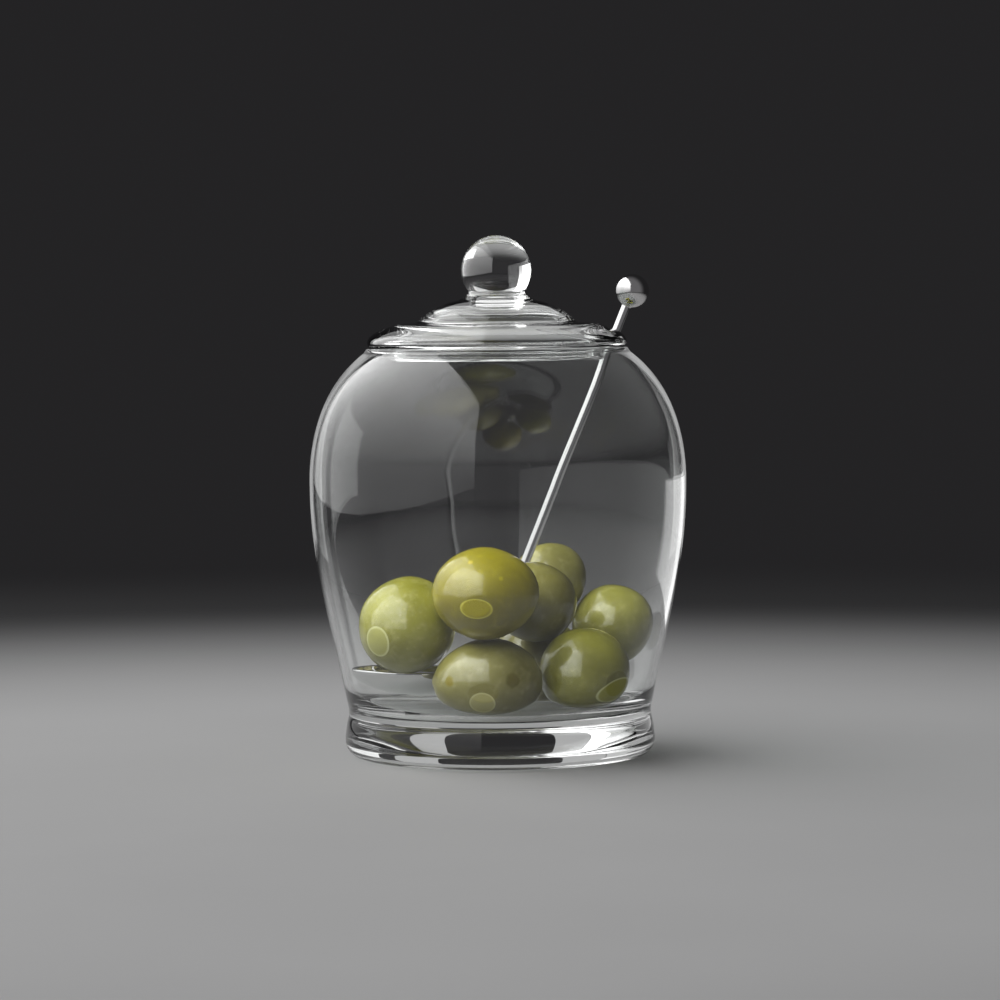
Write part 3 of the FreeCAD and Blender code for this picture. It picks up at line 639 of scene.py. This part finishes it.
def new_group(name, inputs, outputs):
    """A node group with named sockets: {name: (type, default)} in, {name: type} out."""
    group = bpy.data.node_groups.new(name, "ShaderNodeTree")
    for label, (kind, default) in inputs.items():
        socket = group.interface.new_socket(label, in_out="INPUT", socket_type="NodeSocket" + kind)
        socket.default_value = default
    for label, kind in outputs.items():
        group.interface.new_socket(label, in_out="OUTPUT", socket_type="NodeSocket" + kind)
    print("node group", name)
    return group, group.nodes.new("NodeGroupInput"), group.nodes.new("NodeGroupOutput")


# %% Steps, blends and patterns
def smooth_step(tree, value, low, high, to_low=0.0, to_high=1.0):
    """A soft step: to_low below low, to_high above high, and an S curve between."""
    return add_node(
        tree, "ShaderNodeMapRange", {"interpolation_type": "SMOOTHSTEP"}, Value=value,
        From_Min=low, From_Max=high, To_Min=to_low, To_Max=to_high,
    ).outputs["Result"]


def blend_colours(tree, factor, first, second):
    """Two colours blended by a factor. On a Mix node the colours are inputs 6 and 7, output 2."""
    return add_node(tree, "ShaderNodeMix", {"data_type": "RGBA"}, in_0=factor, in_6=first,
                    in_7=second).outputs[2]


def blend_shaders(tree, factor, first, second):
    """Two shaders blended by a factor: the first at 0, the second at 1."""
    return add_node(tree, "ShaderNodeMixShader", in_0=factor, in_1=first,
                    in_2=second).outputs["Shader"]


def combine(tree, operation, first, second):
    """A sum, a product or another operation on two numbers."""
    return add_node(tree, "ShaderNodeMath", {"operation": operation}, in_0=first,
                    in_1=second).outputs[0]


def distance_between(tree, first, second):
    """How far apart two places are, in metres."""
    return add_node(tree, "ShaderNodeVectorMath", {"operation": "DISTANCE"}, in_0=first,
                    in_1=second).outputs["Value"]


def place_on_piece(tree):
    """Where a point is, in the piece's own metres."""
    return add_node(tree, "ShaderNodeTexCoord").outputs["Object"]


def noise(tree, place, scale, detail, roughness=0.5):
    """A cloudy pattern of numbers between 0 and 1, with clouds about 1 / scale metres wide."""
    return add_node(tree, "ShaderNodeTexNoise", Vector=place, Scale=scale, Detail=detail,
                    Roughness=roughness).outputs["Fac"]


def bump(tree, height, strength, distance):
    """The surface's direction, tilted as if height 1 stood out of it by the distance."""
    return add_node(tree, "ShaderNodeBump", Height=height, Strength=strength,
                    Distance=distance).outputs["Normal"]


def opaque(colour):
    """Red, green and blue with the fourth number that a colour socket asks for."""
    return (*colour, 1.0)


# %% [markdown]
# ## Clear glass
# Soda-lime glass bends light by about 1.5 and has no colour in so thin a wall. Its only texture is
# a very faint unevenness, a trace of the iron and the hands. A path tracer sends shadow rays
# straight, and glass that bends light would stop them all, so for shadow rays and for light that
# leaves the olives or the steel, scattered or as a soft gleam, the glass steps aside as a plain,
# nearly clear filter. Rays that glass itself bent or mirrored are singular, and they see glass
# again. That keeps what is inside the jar as bright and as clean as it is in a real one.

# %% The glass
def clear_glass():
    """Glass whose surface sways by a few hundredths of a millimetre."""
    material, tree, out = new_material("clear_glass")
    sway = noise(tree, place_on_piece(tree), scale=55.0, detail=2.0, roughness=0.4)
    glass = add_node(
        tree, "ShaderNodeBsdfPrincipled", Base_Color=(0.985, 0.995, 0.99, 1), Roughness=0.0,
        IOR=1.5, Transmission_Weight=1.0, Normal=bump(tree, sway, strength=0.12, distance=0.0004),
    ).outputs["BSDF"]
    plain = add_node(tree, "ShaderNodeBsdfTransparent", Color=(0.95, 0.96, 0.955, 1))
    plain = plain.outputs["BSDF"]
    ray = add_node(tree, "ShaderNodeLightPath").outputs
    seen = blend_shaders(tree, ray["Is Singular Ray"], plain, glass)
    seen = blend_shaders(tree, ray["Is Glossy Ray"], glass, seen)
    seen = blend_shaders(tree, ray["Is Diffuse Ray"], seen, plain)
    seen = blend_shaders(tree, ray["Is Shadow Ray"], seen, plain)
    tree.links.new(seen, out.inputs["Surface"])
    return material


glass_finish = clear_glass()
for piece in (jar, lid):
    piece.data.materials.append(glass_finish)

# %% [markdown]
# ## Polished steel
# The spoon is polished almost to a mirror. What separates it from a perfect one is a haze of fine
# rubbing marks and a few dull patches where brine has dried, so its roughness wanders a little, and
# very fine streaks cross it.

# %% The steel
def polished_steel():
    """Bright metal with a wandering haze and fine rubbing marks."""
    material, tree, out = new_material("polished_steel")
    place = place_on_piece(tree)
    haze = noise(tree, place, scale=180.0, detail=4.0, roughness=0.6)
    stretched = add_node(tree, "ShaderNodeMapping", Vector=place, Scale=(1.0, 1.0, 0.12))
    marks = noise(tree, stretched.outputs["Vector"], scale=5200.0, detail=2.0)
    steel = add_node(
        tree, "ShaderNodeBsdfPrincipled", Metallic=1.0,
        Base_Color=blend_colours(tree, haze, (0.80, 0.79, 0.78, 1), (0.70, 0.70, 0.71, 1)),
        Roughness=smooth_step(tree, haze, 0.35, 0.75, to_low=0.05, to_high=0.13),
        Normal=bump(tree, marks, strength=0.08, distance=0.00005),
    )
    tree.links.new(steel.outputs["BSDF"], out.inputs["Surface"])
    return material


spoon.data.materials.append(polished_steel())

# %% [markdown]
# ## Olive skin
# Skin under brine has three layers to the eye: a base green that drifts between yellow and grey
# over the fruit, a fine mottle with pale pores, and a wet film that mirrors the lamps. The first
# two are one group of nodes, so that nine olives can share them with their own greens. The wet
# film is a coat on top. Flesh lets a little light in, which softens the edge of every shadow. A
# bruise or a speck is a round mark without that film, and where brine joins an olive to the glass
# the film is gone too, because there is no air left for it to mirror against. There the skin's
# tone is painted paler, a painted brightening, and a bright line round it is a painted glint.

# %% The skin's tones as a group
def skin_tones():
    """Tone, height and wetness of olive skin from its place on the fruit."""
    group, given, out = new_group(
        "skin_tones",
        {"Green": ("Color", (0.2, 0.23, 0.05, 1)), "Deep": ("Color", (0.1, 0.13, 0.02, 1)),
         "Pale": ("Color", (0.4, 0.42, 0.15, 1)), "Drift": ("Float", 0.5),
         "Shift": ("Vector", (0, 0, 0))},
        {"Tone": "Color", "Height": "Float", "Wet": "Float"},
    )
    green, deep, pale = (given.outputs[label] for label in ("Green", "Deep", "Pale"))
    place = add_node(group, "ShaderNodeVectorMath", {"operation": "ADD"},
                     in_0=place_on_piece(group), in_1=given.outputs["Shift"]).outputs[0]
    broad = noise(group, place, scale=75.0, detail=2.0)
    mottle = noise(group, place, scale=420.0, detail=5.0, roughness=0.6)
    grain = noise(group, place, scale=2600.0, detail=3.0)
    pores = add_node(group, "ShaderNodeTexVoronoi", {"feature": "F1"}, Vector=place, Scale=620.0,
                     Randomness=1.0).outputs["Distance"]
    pore = smooth_step(group, pores, 0.10, 0.26, 1.0, 0.0)
    drift = combine(group, "MULTIPLY", smooth_step(group, broad, 0.35, 0.65),
                    given.outputs["Drift"])
    tone = blend_colours(group, drift, green, deep)
    for share, colour in ((smooth_step(group, mottle, 0.48, 0.78, 0.0, 0.55), pale),
                          (smooth_step(group, mottle, 0.42, 0.22, 0.0, 0.35), deep),
                          (combine(group, "MULTIPLY", pore, 0.30), pale)):
        tone = blend_colours(group, share, tone, colour)
    height = combine(group, "MULTIPLY", grain, 0.25)
    for pattern, share in ((mottle, 0.9), (pore, -0.35)):
        height = combine(group, "ADD", height, combine(group, "MULTIPLY", pattern, share))
    wet = smooth_step(group, mottle, 0.30, 0.62, 0.75, 1.0)
    for label, socket in (("Tone", tone), ("Height", height), ("Wet", wet)):
        group.links.new(socket, out.inputs[label])
    return group


# %% A round mark as a group
def round_mark():
    """How much a point lies inside a soft-edged, slightly uneven round mark: a step of its
    distance from the middle over the radius."""
    group, given, out = new_group(
        "round_mark", {"Middle": ("Vector", (0, 0, 0)), "Radius": ("Float", 0.001)},
        {"Mask": "Float"})
    place = place_on_piece(group)
    away = distance_between(group, place, given.outputs["Middle"])
    share = combine(group, "DIVIDE", away, given.outputs["Radius"])
    uneven = combine(group, "MULTIPLY", noise(group, place, scale=700.0, detail=1.0), 0.4)
    mask = smooth_step(group, combine(group, "ADD", share, uneven), 1.05, 1.3, 1.0, 0.0)
    group.links.new(mask, out.inputs["Mask"])
    return group


SKIN_TONES = skin_tones()
ROUND_MARK = round_mark()

# %% Parts of an olive's finish
SCAR_TONE, SCAR_RING_TONE = (0.07, 0.045, 0.02), (0.24, 0.19, 0.07)
MARK_WETNESS = 0.1
# How much the contact disc's painted paler tone and the painted glint round it cover the skin.
DISC_SHARE, GLINT_SHARE = 0.9, 0.8


def measure(tree, label):
    """A number that each point of the mesh keeps."""
    return add_node(tree, "ShaderNodeAttribute", {"attribute_name": label}).outputs["Fac"]


def with_mark(tree, tone, wet, middle, radius, colour):
    """Tone and wetness with one matt round mark laid over them."""
    mask = add_node(tree, "ShaderNodeGroup", {"node_tree": ROUND_MARK},
                    Middle=tuple(v * MM for v in middle), Radius=radius * MM).outputs["Mask"]
    tone = blend_colours(tree, mask, tone, opaque(colour))
    return tone, combine(tree, "MULTIPLY", wet,
                         smooth_step(tree, mask, 0.0, 1.0, 1.0, MARK_WETNESS))


def with_scar(tree, tone):
    """Tone with the stem's scar: a dark pit within a brown ring."""
    from_scar = measure(tree, "from_scar")
    ring = smooth_step(tree, from_scar, 1.2, 2.2, 0.7, 0.0)
    pit = smooth_step(tree, from_scar, 0.5, 1.2, 0.85, 0.0)
    tone = blend_colours(tree, ring, tone, opaque(SCAR_RING_TONE))
    return blend_colours(tree, pit, tone, opaque(SCAR_TONE))


def with_contact(tree, tone, wet, disc, edge_glint):
    """Tone and wetness with the contact mark: a disc without film, its tone painted paler as a
    painted brightening, and a bright line round it, which is a painted glint.
    """
    pressed = measure(tree, "pressed")
    inside = smooth_step(tree, pressed, -0.02, 0.06)
    # The edge is a painted glint: a thin bright line just outside the disc.
    edge = combine(tree, "MULTIPLY", smooth_step(tree, pressed, -0.10, -0.02),
                   smooth_step(tree, pressed, 0.0, 0.12, 1.0, 0.0))
    # Inside the mark the tone is painted paler, a painted brightening; the edge gets the painted
    # glint.
    for mask, share, colour in ((inside, DISC_SHARE, disc), (edge, GLINT_SHARE, edge_glint)):
        tone = blend_colours(tree, combine(tree, "MULTIPLY", mask, share), tone, opaque(colour))
    return tone, combine(tree, "MULTIPLY", wet, combine(tree, "SUBTRACT", 1.0, inside))


# %% One olive's finish
SKIN_SHIFT = (0.1, 0.07, 0.03)


def olive_finish(number, green, deep, pale, disc=None, edge_glint=None, drift=0.6, marks=()):
    """Wet skin in an olive's own greens, with its scar, its contact mark and any bruises.
    Each colour is red, green and blue. A mark is (middle in mm, radius in mm, colour)."""
    material, tree, out = new_material(f"olive_skin_{number}")
    skin = add_node(
        tree, "ShaderNodeGroup", {"node_tree": SKIN_TONES}, Green=opaque(green),
        Deep=opaque(deep), Pale=opaque(pale), Drift=drift,
        Shift=tuple(step * number for step in SKIN_SHIFT),
    ).outputs
    tone, wet = skin["Tone"], skin["Wet"]
    for mark in marks:
        tone, wet = with_mark(tree, tone, wet, *mark)
    tone = with_scar(tree, tone)
    if disc:
        tone, wet = with_contact(tree, tone, wet, disc, edge_glint)
    flesh = add_node(
        tree, "ShaderNodeBsdfPrincipled", Base_Color=tone, Roughness=0.42, IOR=1.42,
        Subsurface_Weight=0.16, Subsurface_Radius=(1.0, 0.9, 0.25), Subsurface_Scale=0.0022,
        Coat_Weight=wet, Coat_Roughness=0.07, Coat_IOR=1.5,
        Normal=bump(tree, skin["Height"], strength=0.28, distance=0.00025),
    )
    tree.links.new(flesh.outputs["BSDF"], out.inputs["Surface"])
    return material


# %% The greens of all nine olives
GREY_GREEN = dict(green=(0.155, 0.142, 0.030), deep=(0.080, 0.070, 0.006), pale=(0.27, 0.25, 0.10))
MID_GREEN = dict(green=(0.150, 0.145, 0.014), deep=(0.085, 0.081, 0.003), pale=(0.26, 0.25, 0.06))
# A disc colour is the contact disc's tone, painted paler than the skin as a painted brightening;
# the bright line round it is a painted glint. The marks are real bruises and specks.
FINISHES = {
    1: dict(GREY_GREEN, disc=(0.285, 0.27, 0.105), edge_glint=(0.42, 0.40, 0.20), drift=0.7,
            marks=[((-12.9, -37.8, 23.6), 1.3, (0.150, 0.122, 0.0)),
                   ((3.3, -40.0, 23.9), 1.9, (0.080, 0.067, 0.0))]),
    2: dict(MID_GREEN, disc=(0.26, 0.255, 0.012), edge_glint=(0.60, 0.60, 0.30)),
    3: GREY_GREEN,
    4: MID_GREEN,
    5: dict(green=(0.215, 0.209, 0.014), deep=(0.140, 0.133, 0.004), pale=(0.36, 0.345, 0.12),
            disc=(0.315, 0.31, 0.085), edge_glint=(0.52, 0.52, 0.26)),
    6: dict(green=(0.205, 0.174, 0.0006), deep=(0.135, 0.113, 0.0003), pale=(0.30, 0.265, 0.010),
            disc=(0.285, 0.245, 0.002), edge_glint=(0.52, 0.47, 0.06), drift=0.8,
            marks=[((-7.2, -41.4, 54.6), 0.7, (0.34, 0.275, 0.02)),
                   ((0.6, -44.3, 50.6), 0.6, (0.28, 0.245, 0.001))]),
    7: GREY_GREEN,
    8: dict(green=(0.195, 0.188, 0.030), deep=(0.125, 0.118, 0.008), pale=(0.32, 0.31, 0.10)),
    9: dict(green=(0.21, 0.195, 0.05), deep=(0.12, 0.108, 0.015), pale=(0.34, 0.32, 0.14)),
}
for number, olive in olives.items():
    olive.data.materials.append(olive_finish(number, **FINISHES[number]))

# %% [markdown]
# ## The table and the room
# The floor is pale and plain near the jar. Further back its colour is painted darker, a painted
# fall-off of the light, and then it fades into the dark of the room, which is what lets the bright
# edges of the glass be seen. The room has no walls, only a tone that depends on the direction, a
# little brighter behind the left of the camera, as a room with a window is.

# %% The floor
FLOOR_HALF, FLOOR_GAP = 1.2, 0.0002
FLOOR_MIDDLE = (0.0, -0.10, 0.0)
# Painted fall-off: between the first two distances from the middle the floor's colour is painted
# darker.
PAINTED_FALLOFF, FADES = (0.22, 0.62), (0.45, 0.85)


def pale_floor():
    """A matt pale surface with the faintest cloudiness. Far from the jar its colour turns darker, a
    painted fall-off of the light, and then gives way to the room, so that no edge or horizon stands
    behind the glass."""
    material, tree, out = new_material("pale_floor")
    place = place_on_piece(tree)
    cloud = noise(tree, place, scale=9.0, detail=3.0)
    away = distance_between(tree, place, FLOOR_MIDDLE)
    pale = blend_colours(tree, cloud, (0.56, 0.56, 0.56, 1), (0.62, 0.62, 0.62, 1))
    # Painted fall-off of the light: the pale colour is painted darker away from the jar.
    tone = blend_colours(tree, smooth_step(tree, away, *PAINTED_FALLOFF), pale, (0.03, 0.03, 0.031, 1))
    paper = add_node(tree, "ShaderNodeBsdfPrincipled", Base_Color=tone, Roughness=0.7)
    gone = add_node(tree, "ShaderNodeBsdfTransparent")
    seen = blend_shaders(tree, smooth_step(tree, away, *FADES), paper.outputs["BSDF"],
                         gone.outputs["BSDF"])
    tree.links.new(seen, out.inputs["Surface"])
    return material


floor_mesh = bpy.data.meshes.new("floor")
floor_mesh.from_pydata([(x * FLOOR_HALF, y * FLOOR_HALF, 0)
                        for x, y in ((-1, -1), (1, -1), (1, 1), (-1, 1))], [], [(0, 1, 2, 3)])
floor_mesh.materials.append(pale_floor())
floor = bpy.data.objects.new("floor", floor_mesh)
floor.location.z = -FLOOR_GAP
bpy.context.scene.collection.objects.link(floor)

# %% The room
ROOM_DARK, ROOM_LIT = (0.0175, 0.017, 0.018, 1), (0.15, 0.147, 0.152, 1)
LIT_SIDE, LIT_FROM, LIT_TO = (-0.5, -0.86, 0.0), -0.55, 0.25

world = bpy.data.worlds.new("room")
world.use_nodes = True
bpy.context.scene.world = world
room = world.node_tree
room.nodes.clear()
looking = add_node(room, "ShaderNodeTexCoord").outputs["Generated"]
lit = add_node(room, "ShaderNodeVectorMath", {"operation": "DOT_PRODUCT"}, in_0=looking,
               in_1=LIT_SIDE).outputs["Value"]
tone = blend_colours(room, smooth_step(room, lit, LIT_FROM, LIT_TO), ROOM_DARK, ROOM_LIT)
sky = add_node(room, "ShaderNodeBackground", Color=tone, Strength=1.0)
room_out = room.nodes.new("ShaderNodeOutputWorld")
room.links.new(sky.outputs["Background"], room_out.inputs["Surface"])
print("the room's lit side is", round(ROOM_LIT[1] / ROOM_DARK[1], 1), "times as bright")

# %% [markdown]
# ## The light
# Clear glass shows only what is around it, so it is lit by shapes and not by points. A tall soft
# panel at the left draws one broad pane on the belly, and a low white card behind the right draws
# the bright strip there. Two dim panels behind the jar draw the thin bright edge on both of its
# sides and light its foot. A high one behind and one at the left are for the lid and its knob. Two
# more reach only the olives: one colours them from above and one is seen only in their wet film,
# as a window is. Flags beside a lamp keep its light off all but what it is for.

# %% A soft panel
PANEL_DISTANCE = 0.6
RIGHT_FADES, LOW_FADES = (0.35, 1.0), (0.0, 0.45)


def soft_panel(name, bearing, right, left, low, high, brightness, distance=PANEL_DISTANCE,
               right_share=1.0, low_share=1.0):
    """An upright panel of light. Bearings are degrees to the left of the camera, seen from the
    jar: the panel's plane is square to bearing at the distance, and reaches from the bearing
    right to the bearing left, and from low to high in height. Brightness is what its left and
    upper part would render as, where 1 is white; its right edge and its low edge have only
    a share of that, as a cloth lit from behind has."""
    lamp = bpy.data.lights.new(name, "AREA")
    first, last = (distance * math.tan(math.radians(edge - bearing)) for edge in (right, left))
    lamp.shape = "RECTANGLE"
    lamp.size, lamp.size_y = last - first, high - low
    lamp.energy = brightness * math.pi * lamp.size * lamp.size_y
    lamp.use_nodes = True
    tree = lamp.node_tree
    cloth = add_node(tree, "ShaderNodeNewGeometry").outputs["Parametric"]
    cloth = add_node(tree, "ShaderNodeSeparateXYZ", Vector=cloth).outputs
    across = smooth_step(tree, cloth["X"], *RIGHT_FADES, 1.0, right_share)
    upwards = smooth_step(tree, cloth["Y"], *LOW_FADES, low_share, 1.0)
    strength = combine(tree, "MULTIPLY", across, upwards)
    tree.links.new(strength, tree.nodes["Emission"].inputs["Strength"])
    panel = bpy.data.objects.new(name, lamp)
    turn = math.radians(bearing)
    away = Vector((-math.sin(turn), -math.cos(turn), 0))
    leftwards = Vector((-math.cos(turn), math.sin(turn), 0))
    height = Vector((0, 0, (low + high) / 2))
    panel.location = distance * away + leftwards * (first + last) / 2 + height
    panel.rotation_mode = "QUATERNION"
    panel.rotation_quaternion = (-away).to_track_quat("-Z", "Y")
    panel.visible_camera = False
    bpy.context.scene.collection.objects.link(panel)
    print(f"{name}: {lamp.size:.2f} m wide, {lamp.size_y:.2f} m high")
    return panel


def light_only(panel, *pieces):
    """Keep a panel's light off all but the given pieces, as flags beside a lamp do."""
    group = bpy.data.collections.new(panel.name + "_receivers")
    for piece in pieces:
        group.objects.link(piece)
    panel.light_linking.receiver_collection = group


# %% The lamps
soft_panel("panel_left", bearing=82, right=14, left=150, low=0.0, high=1.9, brightness=2.3,
           right_share=0.5, low_share=0.22)
card = soft_panel("card_right", bearing=-131, right=-149, left=-113, low=0.0, high=0.066,
                  brightness=0.95, distance=0.22)
light_only(card, jar, lid)
rim = soft_panel("rim_light", bearing=180, right=145, left=215, low=0.4, high=2.4,
                 brightness=2.2, low_share=0.3)
light_only(rim, lid)
gleam = soft_panel("gleam_light", bearing=50, right=2, left=92, low=0.03, high=1.3,
                   brightness=3.4, low_share=0.6)
gleam.visible_diffuse = False
light_only(gleam, *olives.values())
food = soft_panel("food_light", bearing=62, right=10, left=114, low=0.5, high=2.2,
                  brightness=10.0)
food.visible_glossy = False
light_only(food, *olives.values())
for name, right, left in (("rear_left", 152, 166), ("rear_right", -166, -152)):
    rear = soft_panel(name, bearing=(right + left) / 2, right=right, left=left, low=0.0,
                      high=1.0, brightness=0.42)
    light_only(rear, jar)
knob = soft_panel("knob_light", bearing=78, right=13, left=143, low=0.0, high=1.1,
                  brightness=3.0, right_share=0.8, low_share=0.8)
light_only(knob, lid)
